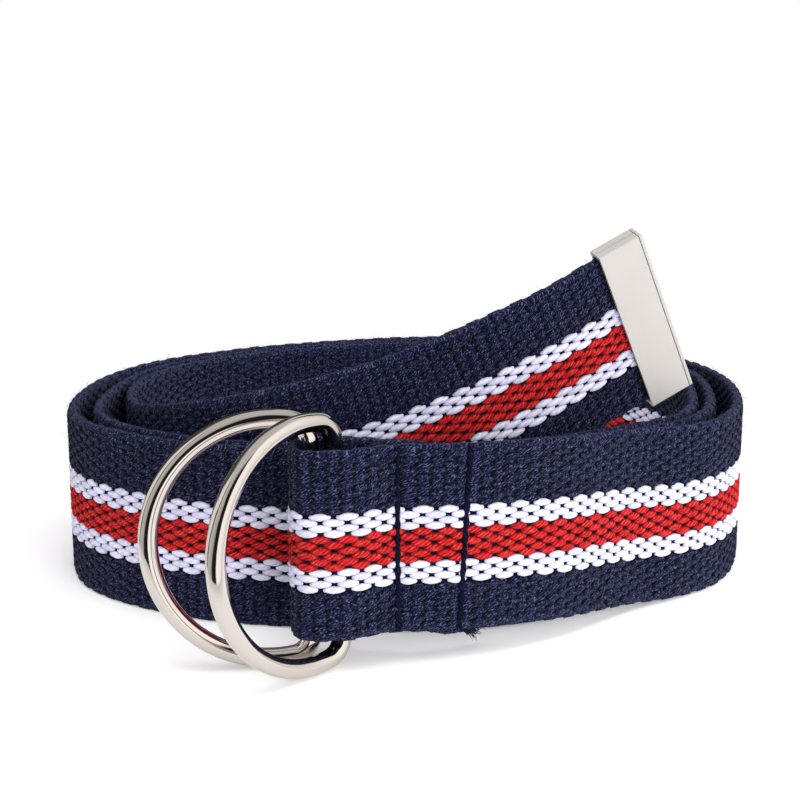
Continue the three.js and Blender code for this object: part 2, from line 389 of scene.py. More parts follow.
        ease = [-loop.seam + (front_bar + loop.seam) * i / self.ease_steps
                for i in range(self.ease_steps + 1)]
        halves = [step / 2 + (spread - step / 2) * float(smoothstep(-s, loop.seam, -front_bar))
                  for s in ease]
        once_round = 2 * math.pi * self.coil_half_width * self.first_turn[0]
        flap_turn = (loop.flap_length - loop.seam) / once_round
        points = [self._coil_points(flap_turn * i / self.flap_steps, step)[0]
                  for i in range(self.flap_steps, 0, -1)]
        points += [place(s, middle_layer - half) for s, half in zip(ease, halves)]
        for i in range(self.fold_steps + 1):
            turned = -math.pi / 2 - math.pi * i / self.fold_steps
            points.append(place(rear_bar + fold_end * math.cos(turned),
                                middle_layer + spread * math.sin(turned)))
        points += [place(s, middle_layer + half) for s, half in zip(reversed(ease), reversed(halves))]
        count = round(self.leaves_coil_at * self.steps_per_turn)
        points += list(self._coil_points(self.leaves_coil_at * np.arange(count) / count))
        leans = [0.0] * len(points)
        free, free_leans = self._free_stations()
        return np.vstack((points, free)), np.radians(np.concatenate((leans, free_leans)))

    def _free_stations(self) -> tuple[np.ndarray, np.ndarray]:
        """Lays the stations of the free end and of the stiff end in the tip.

        Returns:
            The stations, and their leans in degrees.
        """
        reach, width = self.coil_half_width, self.webbing.width
        rows = [(row.x * reach, row.y * reach, row.rise * width) for row in self.free_end]
        lead = self._coil_points(np.array(self.lead_turns) + self.leaves_coil_at)
        points = np.vstack((lead, rows))
        leans = np.array([0.0] * len(lead) + [row.lean for row in self.free_end])
        spans = len(points) - 1
        at = np.linspace(len(lead) - 1, spans - 1, self.free_steps + 1)
        curve = through_points(points, at)
        near_end = spans - 1 + np.array([-1e-4, 1e-4])
        tangent = unit(np.diff(through_points(points, near_end), axis=0))[0]
        stiff = self.tip.length - self.tip.plate - self.webbing.clearance + self.webbing.thickness
        ahead = stiff * np.arange(1, self.tip_steps + 1) / self.tip_steps
        straight = curve[-1] + ahead[:, None] * tangent
        lean = smooth_between(leans, at)
        return np.vstack((curve, straight)), np.concatenate((lean, np.full(self.tip_steps, lean[-1])))

    @staticmethod
    def _frames(points: np.ndarray, leans: np.ndarray) -> tuple[np.ndarray, np.ndarray, np.ndarray]:
        """Ways along the strap, out of its outer face and up its width.

        Args:
            points: Middles of the strap, one a row.
            leans: How far the upper edge is tipped outwards at each, in radians.

        Returns:
            The three ways, one row for each point.
        """
        after = np.vstack((points[1:], points[-1:]))
        before = np.vstack((points[:1], points[:-1]))
        run = unit(after - before)
        level = unit(np.column_stack((run[:, 1], -run[:, 0], np.zeros(len(run)))))
        upright = np.cross(level, run)
        up = upright * np.cos(leans)[:, None] + level * np.sin(leans)[:, None]
        return run, unit(np.cross(run, up)), up

    def pinch(self, places: np.ndarray) -> np.ndarray:
        """Works out how much of its full height the strap's relief keeps.

        Args:
            places: Distances along the strap.

        Returns:
            The share that is kept at each.
        """
        kept = 1 - (1 - self.tip.pressed / self.webbing.thickness) * smoothstep(
            places, self.mouth_place - self.webbing.thickness, self.mouth_place)
        for stitch in self.stitch_places():
            kept = kept * (1 - self.stitch_pinch * bell(places - stitch, self.stitch_reach))
        return kept * (1 - self.fold_pinch * bell(places - self.fold_place, self.fold_reach))

    def stitch_places(self) -> tuple[float, ...]:
        """Places of both stitch lines, on the flap and then on the front layer."""
        return (self.flap_seam_place - self.stitches_apart, self.flap_seam_place,
                self.front_seam_place, self.front_seam_place + self.stitches_apart)

    def bend(self, flat: np.ndarray) -> np.ndarray:
        """Bends flat places along the route.

        Args:
            flat: Distance along, height across the width and height over the middle, one a row.

        Returns:
            The places in the part's frame, none of them under the surface that it stands on.
        """
        along, across, over = flat[:, 0], flat[:, 1], flat[:, 2]
        ways = [np.column_stack([np.interp(along, self.places, table[:, k]) for k in range(3)])
                for table in (self.middles, self.ups, self.outs, self.runs)]
        middles, ups, outs, runs = ways
        past = along - np.clip(along, 0, self.length)
        over = over * self.pinch(along)
        over = over - self.fold_inset * bell(along - self.fold_place, self.inset_reach)
        half_width = self.webbing.width / 2
        loop_end = self.front_seam_place + self.stitches_apart
        faded = smoothstep(along, loop_end, loop_end + self.narrow_fade)
        across = across - self.webbing.drawn_in * (1 - faded) * (across + half_width)
        across = across - self.flap_droop * (1 - smoothstep(along, *self.droop_places))
        bent = middles + ups * across[:, None] + outs * over[:, None] + runs * past[:, None]
        bent[:, 2] = np.maximum(bent[:, 2], 0)
        return bent


def to_linear(hex_colour: str) -> tuple[float, float, float, float]:
    """Turns an sRGB hex value to the linear colour that shaders take.

    Args:
        hex_colour: Six hex digits after a number sign.

    Returns:
        Red, green, blue and an alpha of 1.
    """
    channels = [int(hex_colour[i:i + 2], 16) / 255 for i in (1, 3, 5)]
    linear = [c / 12.92 if c <= 0.04045 else ((c + 0.055) / 1.055) ** 2.4 for c in channels]
    return (linear[0], linear[1], linear[2], 1.0)


def set_inputs(tree: bpy.types.NodeTree, node: bpy.types.Node, inputs: dict) -> None:
    """Sets or links inputs of a node.

    Args:
        tree: The node tree.
        node: The node.
        inputs: Values, or sockets to link from, by the input's name or number.
    """
    for name, value in inputs.items():
        if isinstance(value, bpy.types.NodeSocket):
            tree.links.new(value, node.inputs[name])
        else:
            node.inputs[name].default_value = value


def add_node(tree: bpy.types.NodeTree, kind: str, settings: dict | None = None,
             inputs: dict | None = None) -> bpy.types.Node:
    """Adds a node with its settings, values and links.

    Args:
        tree: The node tree.
        kind: The node's type name.
        settings: Properties of the node, by name.
        inputs: Values, or sockets to link from, by the input's name or number.

    Returns:
        The node.
    """
    node = tree.nodes.new(kind)
    for name, value in (settings or {}).items():
        setattr(node, name, value)
    set_inputs(tree, node, inputs or {})
    return node


def new_material(name: str) -> tuple[bpy.types.Material, bpy.types.NodeTree, bpy.types.Node]:
    """Starts a material.

    Args:
        name: The material's name.

    Returns:
        The material, its node tree and its principled shader.
    """
    material = bpy.data.materials.new(name)
    material.use_nodes = True
    tree = material.node_tree
    return material, tree, tree.nodes["Principled BSDF"]


MIX_COLOURS = {"data_type": "RGBA"}
SOFT_STEP = {"interpolation_type": "SMOOTHSTEP"}


@dataclass(frozen=True)
class CottonYarn:
    """Plied cotton yarn, woven: its floats show slanting plies and fine fibres, and it has no gloss.

    The fibres are drawn as short flecks, about ten times as thick as real ones, which would be
    lost in a picture of the whole belt; on the red yarn the flecks are painted highlights. Painted
    shade darkens a float towards its outline, where real yarn goes down between its neighbours.
    """

    name: str
    colour: str
    shade: str
    fleck_and_highlight: str
    # Colour of the painted shade towards each float's outline.
    crevice_shade_colour: str
    ply_spacing_mm: float = 0.6
    ply_slant: float = math.radians(37)
    ply_depth: float = 0.5
    fibre_mm: tuple[float, float] = (1.3, 0.26)
    fleck_and_highlight_share: float = 0.25
    # How far painted shade darkens a float at its outline, and from which share of the way out.
    painted_crevice_shade: float = 0.8
    painted_shade_from: float = 0.62
    sheen: float = 0.04
    # The plies wander and the dye clouds at these rates of noise a millimetre.
    wander_rate: float = 0.9
    wander: float = 5.0
    cloud_rate: float = 0.16
    cloud_tones: tuple[float, float] = (0.82, 1.12)
    fibre_height: float = 0.8
    bump_mm: float = 0.12

    def material(self) -> bpy.types.Material:
        """Builds the material on the piece's UV map, which is in millimetres of strap."""
        material, tree, shader = new_material(self.name)
        uv = add_node(tree, "ShaderNodeUVMap", {"uv_map": "UVMap"}).outputs["UV"]
        across_plies = (math.sin(self.ply_slant), -math.cos(self.ply_slant), 0.0)
        wander = add_node(tree, "ShaderNodeTexNoise", inputs={
            "Vector": uv, "Scale": self.wander_rate, "Detail": 2.0})
        drift = add_node(tree, "ShaderNodeMath", {"operation": "MULTIPLY"}, {
            0: wander.outputs["Fac"], 1: self.wander})
        dot = add_node(tree, "ShaderNodeVectorMath", {"operation": "DOT_PRODUCT"}, {
            0: uv, 1: across_plies})
        phase = add_node(tree, "ShaderNodeMath", {"operation": "MULTIPLY_ADD"}, {
            0: dot.outputs["Value"], 1: 2 * math.pi / self.ply_spacing_mm, 2: drift.outputs[0]})
        wave = add_node(tree, "ShaderNodeMath", {"operation": "SINE"}, {0: phase.outputs[0]})
        ply = add_node(tree, "ShaderNodeMapRange", inputs={
            "Value": wave.outputs[0], "From Min": -1.0, "From Max": 0.4, "To Min": 0.0, "To Max": 1.0})
        along_plies = add_node(tree, "ShaderNodeMapping", {"vector_type": "TEXTURE"}, {
            "Vector": uv, "Rotation": (0.0, 0.0, self.ply_slant), "Scale": (*self.fibre_mm, 1.0)})
        fibres = add_node(tree, "ShaderNodeTexNoise", inputs={
            "Vector": along_plies.outputs[0], "Scale": 1.0, "Detail": 3.0, "Roughness": 0.62})
        cloud = add_node(tree, "ShaderNodeTexNoise", inputs={
            "Vector": uv, "Scale": self.cloud_rate, "Detail": 3.0})
        # Painted shade: the grooves between the plies are darkened towards the shade colour.
        body = add_node(tree, "ShaderNodeMix", MIX_COLOURS, {
            0: ply.outputs[0], 6: to_linear(self.shade), 7: to_linear(self.colour)})
        # Pale flecks along the plies; on the red yarn they are painted highlights.
        fleck_and_highlight_mask = add_node(tree, "ShaderNodeMapRange", inputs={
            "Value": fibres.outputs["Fac"], "From Min": 0.52, "From Max": 0.68,
            "To Min": 0.0, "To Max": self.fleck_and_highlight_share})
        flecked_and_lit = add_node(tree, "ShaderNodeMix", MIX_COLOURS, {
            0: fleck_and_highlight_mask.outputs[0], 6: body.outputs[2], 7: to_linear(self.fleck_and_highlight)})
        tone = add_node(tree, "ShaderNodeMapRange", inputs={
            "Value": cloud.outputs["Fac"], "From Min": 0.3, "From Max": 0.7,
            "To Min": self.cloud_tones[0], "To Max": self.cloud_tones[1]})
        toned = add_node(tree, "ShaderNodeMix", MIX_COLOURS | {"blend_type": "MULTIPLY"}, {
            0: 1.0, 6: flecked_and_lit.outputs[2], 7: tone.outputs[0]})
        # Painted shade: towards each float's outline its colour turns to the crevice shade colour.
        on_float = add_node(tree, "ShaderNodeUVMap", {"uv_map": "FloatUV"}).outputs["UV"]
        from_middle = add_node(tree, "ShaderNodeVectorMath", {"operation": "LENGTH"}, {0: on_float})
        painted_crevice_shade = add_node(tree, "ShaderNodeMapRange", SOFT_STEP, {
            "Value": from_middle.outputs["Value"], "From Min": self.painted_shade_from, "From Max": 1.0,
            "To Min": 0.0, "To Max": self.painted_crevice_shade})
        crevice_shaded = add_node(tree, "ShaderNodeMix", MIX_COLOURS, {
            0: painted_crevice_shade.outputs[0], 6: toned.outputs[2], 7: to_linear(self.crevice_shade_colour)})
        height = add_node(tree, "ShaderNodeMath", {"operation": "MULTIPLY_ADD"}, {
            0: fibres.outputs["Fac"], 1: self.fibre_height, 2: ply.outputs[0]})
        bump = add_node(tree, "ShaderNodeBump", inputs={
            "Height": height.outputs[0], "Strength": self.ply_depth, "Distance": self.bump_mm * MM})
        set_inputs(tree, shader, {
            "Base Color": crevice_shaded.outputs[2], "Normal": bump.outputs[0], "Roughness": 0.95,
            "Sheen Weight": self.sheen, "Sheen Roughness": 0.5, "Specular IOR Level": 0.05})
        return material


@dataclass(frozen=True)
class NickelPlate:
    """Nickel plate on steel: polished it mirrors the room, satin it has a fine even grain."""

    name: str
    colour: str
    worn: str
    roughness: float
    grain_mm: float
    grain_depth: float
    metallic: float = 1.0
    # Haze of handling, in patches of about a centimetre, given as noise a metre.
    haze_rate: float = 90.0
    haze_depth: float = 0.25
    bump_mm: float = 0.02

    def material(self) -> bpy.types.Material:
        """Builds the material on the object's own coordinates."""
        material, tree, shader = new_material(self.name)
        place = add_node(tree, "ShaderNodeTexCoord").outputs["Object"]
        grain = add_node(tree, "ShaderNodeTexNoise", inputs={
            "Vector": place, "Scale": 1 / (self.grain_mm * MM), "Detail": 2.0})
        haze = add_node(tree, "ShaderNodeTexNoise", inputs={
            "Vector": place, "Scale": self.haze_rate, "Detail": 3.0})
        colour = add_node(tree, "ShaderNodeMix", MIX_COLOURS, {
            0: haze.outputs["Fac"], 6: to_linear(self.colour), 7: to_linear(self.worn)})
        rough = add_node(tree, "ShaderNodeMapRange", inputs={
            "Value": haze.outputs["Fac"], "To Min": self.roughness * (1 - self.haze_depth),
            "To Max": self.roughness * (1 + self.haze_depth)})
        bump = add_node(tree, "ShaderNodeBump", inputs={
            "Height": grain.outputs["Fac"], "Strength": self.grain_depth,
            "Distance": self.bump_mm * MM})
        set_inputs(tree, shader, {
            "Base Color": colour.outputs[2], "Roughness": rough.outputs[0],
            "Normal": bump.outputs[0], "Metallic": self.metallic})
        return material


# Cotton dyed a deep navy: pale fibres fleck it,
# and painted shade makes it nearly black between its floats.
NAVY_YARN = CottonYarn(
    "navy_cotton_yarn", colour="#15183c", shade="#05060f", fleck_and_highlight="#7780aa", crevice_shade_colour="#020307",
    ply_depth=1.0, fibre_mm=(0.7, 0.22), fleck_and_highlight_share=0.8, painted_crevice_shade=1.0, painted_shade_from=0.34)
# Bleached cotton with a cool cast, so thick and bright that its plies hardly show.
WHITE_YARN = CottonYarn(
    "white_cotton_yarn", colour="#e4e2f8", shade="#d6d4ee", fleck_and_highlight="#ffffff", crevice_shade_colour="#aaadd0",
    ply_spacing_mm=1.1, ply_depth=0.15, fleck_and_highlight_share=0.3, painted_crevice_shade=0.3, sheen=0.02)
# Cotton dyed red: its plies show as darker slanting lines of painted shade, and its pale pink
# flecks are painted highlights.
RED_YARN = CottonYarn(
    "red_cotton_yarn", colour="#cf2326", shade="#8e121a", fleck_and_highlight="#ff8074", crevice_shade_colour="#4c070e",
    ply_spacing_mm=0.7, ply_depth=0.6, fleck_and_highlight_share=0.5, painted_crevice_shade=0.7, sheen=0.02)
# The navy cotton weft under the stripes, which shows as dark specks between the floats.
GROUND_YARN = CottonYarn(
    "navy_ground_yarn", colour="#141730", shade="#080914", fleck_and_highlight="#2c3258", crevice_shade_colour="#080914",
    fleck_and_highlight_share=0.2, sheen=0.0)
# Navy sewing thread, twisted the other way from the yarns and darker than they are.
SEWING_THREAD = CottonYarn(
    "navy_sewing_thread", colour="#12152b", shade="#06070f", fleck_and_highlight="#3a4066", crevice_shade_colour="#06070f",
    ply_slant=math.radians(125), ply_spacing_mm=0.7, ply_depth=1.0, sheen=0.0)
# Nickel plate on polished steel wire: a warm grey mirror, very slightly rippled.
POLISHED_NICKEL = NickelPlate(
    "polished_nickel_plate", colour="#cac4be", worn="#c1bab3", roughness=0.06,
    grain_mm=0.8, grain_depth=0.04)
# Satin nickel plate on a folded steel sheet: pale and even, it mirrors no shapes. The grain is
# drawn several times as coarse as the real one.
SATIN_NICKEL = NickelPlate(
    "satin_nickel_plate", colour="#cbc8c5", worn="#c8c4c1", roughness=0.65,
    grain_mm=0.12, grain_depth=0.1, metallic=0.25)


class Template(NamedTuple):
    """A small shape that is repeated: its corners and the corners of each face."""

    corners: np.ndarray
    faces: list[list[int]]


def placed(name: str, data: bpy.types.ID) -> bpy.types.Object:
    """Adds an object to the scene.

    Args:
        name: The object's name.
        data: Its mesh, camera or light.

    Returns:
        The object.
    """
    made = bpy.data.objects.new(name, data)
    bpy.context.scene.collection.objects.link(made)
    return made


def turn_about(bm: bmesh.types.BMesh, axis: str, degrees: float) -> None:
    """Turns all of a bmesh about an axis through the origin."""
    turn = Matrix.Rotation(math.radians(degrees), 3, axis)
    bmesh.ops.rotate(bm, cent=(0, 0, 0), matrix=turn, verts=bm.verts[:])


def taken_from(bm: bmesh.types.BMesh) -> Template:
    """Reads a template from a bmesh and frees the bmesh.

    Operators leave corners and faces in an order that changes from run to run, so both are
    sorted by place. Each run then gives the same random numbers to the same corners.

    Args:
        bm: The bmesh.

    Returns:
        The template.
    """
    bm.verts.index_update()
    corners = np.array([v.co[:] for v in bm.verts])
    order = np.lexsort(np.round(corners, 5).T)
    rank = np.argsort(order).tolist()
    faces = []
    for face in bm.faces:
        around = [rank[v.index] for v in face.verts]
        first = around.index(min(around))
        faces.append(around[first:] + around[:first])
    bm.free()
    return Template(corners[order], sorted(faces))


def joined_mesh(name: str, template: Template, copies: np.ndarray, uv: np.ndarray,
                on_float: np.ndarray | None = None) -> bpy.types.Object:
    """Makes one mesh of many copies of a template.

    Args:
        name: The object's name.
        template: The repeated shape.
        copies: Corners of each copy in the part's frame: copies, corners, three.
        uv: Flat place of each corner in millimetres: copies, corners, two.
        on_float: Place of each corner on its float, from -1 to 1 each way: copies, corners, two.

    Returns:
        The object.
    """
    count, corners = copies.shape[:2]
    loops = np.concatenate([np.array(face) for face in template.faces])
    sizes = np.array([len(face) for face in template.faces])
    offsets = np.arange(count)[:, None] * corners
    indices = (loops[None, :] + offsets).ravel()
    starts = np.concatenate(([0], np.cumsum(np.tile(sizes, count))[:-1]))
    mesh = bpy.data.meshes.new(name)
    mesh.vertices.add(count * corners)
    mesh.vertices.foreach_set("co", copies.astype(np.float32).ravel())
    mesh.loops.add(len(indices))
    mesh.loops.foreach_set("vertex_index", indices.astype(np.int32))
    mesh.polygons.add(len(starts))
    mesh.polygons.foreach_set("loop_start", starts.astype(np.int32))
    mesh.polygons.foreach_set("use_smooth", np.ones(len(starts), bool))
    for layer_name, values in (("UVMap", uv), ("FloatUV", on_float)):
        if values is not None:
            layer = mesh.uv_layers.new(name=layer_name)
            layer.data.foreach_set("uv", values.reshape(-1, 2)[indices].astype(np.float32).ravel())
    mesh.update(calc_edges=True)
    mesh.validate()
    return placed(name, mesh)


def bmesh_object(name: str, bm: bmesh.types.BMesh) -> bpy.types.Object:
    """Turns a bmesh to an object with smooth faces, and frees the bmesh.

    Args:
        name: The object's name.
        bm: The bmesh.

    Returns:
        The object.
    """
    mesh = bpy.data.meshes.new(name)
    for face in bm.faces:
        face.smooth = True
    bm.to_mesh(mesh)
    bm.free()
    return placed(name, mesh)


def triangles(piece: bpy.types.Object) -> int:
    """How many triangles a piece's mesh has."""
    return sum(len(polygon.vertices) - 2 for polygon in piece.data.polygons)


class FloatShape(NamedTuple):
    """A float's form: corners round its section, and its girth at places from end to end."""

    around: int
    girths: tuple[tuple[float, float], ...]


BROAD_FLOAT = FloatShape(8, ((-0.9, 0.48), (-0.56, 0.8), (0.0, 1.0), (0.56, 0.8), (0.9, 0.48)))
ROUND_FLOAT = FloatShape(8, ((-0.82, 0.58), (0.0, 1.0), (0.82, 0.58)))
LONG_FLOAT = FloatShape(6, ((-0.88, 0.52), (-0.34, 0.96), (0.34, 0.96), (0.88, 0.52)))
SHORT_FLOAT = FloatShape(6, ((-0.84, 0.58), (0.0, 1.0), (0.84, 0.58)))
NAP_FLOAT = FloatShape(6, ((-0.6, 0.84), (0.6, 0.84)))
FLOAT_SHAPES = {
    (Stripe.NAVY, Face.OUTER): NAP_FLOAT, (Stripe.NAVY, Face.INNER): NAP_FLOAT,
    (Stripe.WHITE, Face.OUTER): BROAD_FLOAT, (Stripe.WHITE, Face.INNER): ROUND_FLOAT,
    (Stripe.RED, Face.OUTER): LONG_FLOAT, (Stripe.RED, Face.INNER): SHORT_FLOAT,
}


class Ground(NamedTuple):
    """The yarns under some rows of floats: how deep they lie and how round their edges are."""

    name: str
    first_row: int
    end_row: int
    sink: float
    corner: float
    yarn: CottonYarn


GROUNDS = (
    Ground("upper_navy_ground", 0, 11, 0.5 * MM, 0.9 * MM, NAVY_YARN),
    Ground("stripe_ground", 10, 26, 0.8 * MM, 0.3 * MM, GROUND_YARN),
    Ground("lower_navy_ground", 25, 34, 0.5 * MM, 0.9 * MM, NAVY_YARN),
)


@dataclass(frozen=True)
class FloatSizes:
    """The warp floats, how far the weaving lets them stray, and how the two edge rows differ.

    An edge row turns over the strap's edge, so it lies deeper, stands lower, and its outline of
    painted shade is narrower.
    """

    half_length: float = 2.07 * MM
    half_height: float = 0.82 * MM
    half_thick: float = 0.64 * MM
    row_shift: float = 0.5
    first_at: float = 0.25
    in_tip: float = 0.4
    along_stray: float = 0.06 * MM
    across_stray: float = 0.03 * MM
    over_stray: float = 0.025 * MM
    length_spread: float = 0.02
    height_spread: float = 0.025
    edge_sink: float = 0.3 * MM
    edge_height: float = 0.8
    # An edge row keeps this share of the painted shade outline across its height.
    edge_shade_outline: float = 0.35
    pattern_span_mm: float = 40.0


@dataclass(frozen=True)
class StitchSizes:
    """A row of stitches in thick thread, which swells a little at each stitch."""

    radius: float = 0.6 * MM
    short_of_width: float = 0.8 * MM
    stitch: float = 3.2 * MM
    swell: float = 0.14
    rise: float = 0.1 * MM
    sink: float = 0.78 * MM
    sides: int = 10
    cuts: int = 80


@dataclass(frozen=True)
class LintSizes:
    """Loose cotton fibres on the edges and the navy stripes.

    They are drawn about three times as thick as real ones, so that some of them show. Places
    on the webbing are shares of its width and thickness.
    """

    count: int = 9000
    radius: float = 0.03 * MM
    lengths_mm: tuple[float, float] = (0.5, 1.6)
    edge_share: float = 0.5
    edge_length: float = 0.8
    edge_depth: float = 0.4
    edge_way: float = 1.1
    face_height: float = 0.45
    face_way: float = 0.4
    navy: tuple[float, float] = (0.23, 0.49)


@dataclass(frozen=True)
class FraySizes:
    """Plies of yarn that hang frayed from the lower corner of the flap's cut end."""

    count: int = 420
    radius: float = 0.16 * MM
    height: float = 4.5 * MM
    lengths_mm: tuple[float, float] = (1.2, 2.9)
    root_mm: float = 0.6
    half_depth: float = 0.42
    fall: float = -0.2
    spread: float = 0.25


@dataclass
class Strap:
    """The webbing: its ground yarns, and the warp floats, stitches and loose fibres on them."""

    route: StrapRoute
    body: str = "belt"
    float_sizes: FloatSizes = field(default_factory=FloatSizes)
    stitch_sizes: StitchSizes = field(default_factory=StitchSizes)
    lint_sizes: LintSizes = field(default_factory=LintSizes)
    fray_sizes: FraySizes = field(default_factory=FraySizes)
    ground_steps: int = 1000
    ground_stray: float = 0.035 * MM
    hair_curl: float = 0.5
    seed: int = 20

    def build(self) -> list[bpy.types.Object]:
        """Builds and dresses all the strap's pieces.

        Returns:
            The pieces.
        """
        self.random = np.random.default_rng(self.seed)
        yarns = {yarn.name: yarn.material() for yarn in
                 (NAVY_YARN, WHITE_YARN, RED_YARN, GROUND_YARN, SEWING_THREAD)}
        dressed = [(self.ground(ground), ground.yarn) for ground in GROUNDS]
        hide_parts("strap")
        for stripe, yarn in zip(Stripe, (NAVY_YARN, WHITE_YARN, RED_YARN)):
            dressed += [(self.floats(stripe, face), yarn) for face in Face]
        dressed += [(self.lint(), NAVY_YARN), (self.fray(), NAVY_YARN), (self.stitches(), SEWING_THREAD)]
        for piece, yarn in dressed:
            piece.data.materials.append(yarns[yarn.name])
            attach(piece, self.body)
        return [piece for piece, _ in dressed]

    def ground(self, ground: Ground) -> bpy.types.Object:
        """A flat bar with round edges that runs the whole length under some rows of floats.

        Args:
            ground: Which rows, and how deep under the floats.

        Returns:
            The piece.
        """
        web = self.route.webbing
        thick = web.thickness - 2 * ground.sink
        high = web.width / 2 - ground.first_row * web.row_pitch
        low = web.width / 2 - ground.end_row * web.row_pitch
        bm = bmesh.new()
        bmesh.ops.create_grid(bm, x_segments=1, y_segments=1, size=0.5)
        bmesh.ops.scale(bm, vec=(thick, high - low, 1), verts=bm.verts[:])
        bmesh.ops.bevel(bm, geom=bm.verts[:], offset=ground.corner, offset_type="OFFSET", segments=4,
                        profile=0.5, affect="VERTICES", material=-1)
        bmesh.ops.translate(bm, vec=(0, (high + low) / 2, 0), verts=bm.verts[:])
        turn_about(bm, "Y", 90)
        grown = bmesh.ops.extrude_face_region(bm, geom=bm.faces[:], use_keep_orig=True)
        far = [v for v in grown["geom"] if isinstance(v, bmesh.types.BMVert)]
        bmesh.ops.translate(bm, vec=(self.route.length, 0, 0), verts=far)
        long_edges = [e for e in bm.edges if e.calc_length() > self.route.length / 2]
        bmesh.ops.subdivide_edges(bm, edges=long_edges, cuts=self.ground_steps, use_grid_fill=True)
        bmesh.ops.recalc_face_normals(bm, faces=bm.faces[:])
        template = taken_from(bm)
        flat = template.corners
        uv = np.column_stack((flat[:, 0], flat[:, 1] + flat[:, 2])) / MM
        uneven = flat + self.random.normal(0, self.ground_stray, flat.shape) * (0, 1, 1)
        return joined_mesh(ground.name, template, self.route.bend(uneven)[None], uv[None])

    @staticmethod
    def float_template(shape: FloatShape) -> Template:
        """One warp float, a leaf with blunt ends, lying along the first axis.

        Args:
            shape: Its form.

        Returns:
            The leaf, of half length, half height and half thickness 1.
        """
        bm = bmesh.new()
        bmesh.ops.create_uvsphere(bm, u_segments=shape.around, v_segments=len(shape.girths) + 1,
                                  radius=1.0)
        turn_about(bm, "Y", 90)
        rings = sorted({round(v.co.x, 3) for v in bm.verts})[1:-1]
        widest = math.cos(math.pi / shape.around) if shape.around % 4 else 1.0
        for vert in bm.verts:
            if abs(vert.co.x) < 0.999:
                place, girth = shape.girths[rings.index(round(vert.co.x, 3))]
                grown = girth / math.hypot(vert.co.y, vert.co.z)
                vert.co = (place, vert.co.y * grown / widest, vert.co.z * grown)
        return taken_from(bm)

    def floats(self, stripe: Stripe, face: Face) -> bpy.types.Object:
        """All the floats of one colour on one face.

        Args:
            stripe: The colour.
            face: The face that they lie on.

        Returns:
            The piece.
        """
        web, sizes, random = self.route.webbing, self.float_sizes, self.random
        template = self.float_template(FLOAT_SHAPES[stripe, face])
        columns = np.arange(int(self.route.mouth_place / web.float_pitch) + 1)
        rows = np.array(web.rows(stripe))
        row, column = (grid.ravel() for grid in np.meshgrid(rows, columns, indexing="ij"))
        along = (column + sizes.row_shift * (row % 2)) * web.float_pitch + sizes.first_at * web.float_pitch
        inside = along < self.route.mouth_place + sizes.half_length * sizes.in_tip
        row, along = row[inside], along[inside]
        count = len(row)
        on_edge = (row == 0) | (row == sum(band.rows for band in web.bands) - 1)
        along = along + random.normal(0, sizes.along_stray, count)
        across = web.width / 2 - (row + 0.5) * web.row_pitch + random.normal(0, sizes.across_stray, count)
        over = web.thickness / 2 - sizes.half_thick + random.normal(0, sizes.over_stray, count)
        over = over - np.where(on_edge, sizes.edge_sink, 0)
        length = sizes.half_length * random.normal(1, sizes.length_spread, count)
        height = sizes.half_height * random.normal(1, sizes.height_spread, count)
        height = height * np.where(on_edge, sizes.edge_height, 1)
        shape = template.corners
        flat = np.empty((count, len(shape), 3))
        flat[:, :, 0] = along[:, None] + shape[None, :, 0] * length[:, None]
        flat[:, :, 1] = across[:, None] + face.value * shape[None, :, 1] * height[:, None]
        flat[:, :, 2] = face.value * (over[:, None] + shape[None, :, 2] * sizes.half_thick)
        copies = self.route.bend(flat.reshape(-1, 3)).reshape(flat.shape)
        apart = random.uniform(0, sizes.pattern_span_mm, (count, 1, 2))
        uv = flat[:, :, :2] * (face.value, 1) / MM + apart
        on_float = np.repeat(shape[None, :, :2], count, axis=0)
        on_float[on_edge, :, 1] *= sizes.edge_shade_outline
        name = f"{stripe.value}_floats_{face.name.lower()}"
        return joined_mesh(name, template, copies, uv, on_float)

    def hairs(self, name: str, roots: np.ndarray, ways: np.ndarray, lengths: np.ndarray,
              radius: float) -> bpy.types.Object:
        """Fine tapered fibres, each a little curled.

        Args:
            name: The piece's name.
            roots: Flat place of each root.
            ways: Which way each fibre grows.
            lengths: Length of each.
            radius: Radius at the roots.

        Returns:
            The piece.
        """
        bm = bmesh.new()
        bmesh.ops.create_cone(bm, cap_ends=True, segments=3, radius1=1.0, radius2=0.25, depth=1.0)
        bmesh.ops.translate(bm, vec=(0, 0, 0.5), verts=bm.verts[:])
        tall = [e for e in bm.edges if abs(e.verts[0].co.z - e.verts[1].co.z) > 0.5]
        bmesh.ops.subdivide_edges(bm, edges=tall, cuts=1)
        template = taken_from(bm)
        count = len(roots)
        ways = unit(ways)
        aside = unit(np.cross(ways, self.random.normal(0, 1, (count, 3))))
        third = np.cross(ways, aside)
        shape = template.corners[None]
        length = lengths[:, None, None]
        curl = shape[:, :, 2:3] ** 2 * length * self.random.normal(0, self.hair_curl, count)[:, None, None]
        girth = radius * (shape[:, :, 0:1] * aside[:, None, :] + shape[:, :, 1:2] * third[:, None, :])
        straight = roots[:, None, :] + shape[:, :, 2:3] * length * ways[:, None, :]
        flat = straight + curl * aside[:, None, :] + girth
        copies = self.route.bend(flat.reshape(-1, 3)).reshape(flat.shape)
        return joined_mesh(name, template, copies, flat[:, :, :2] / MM)

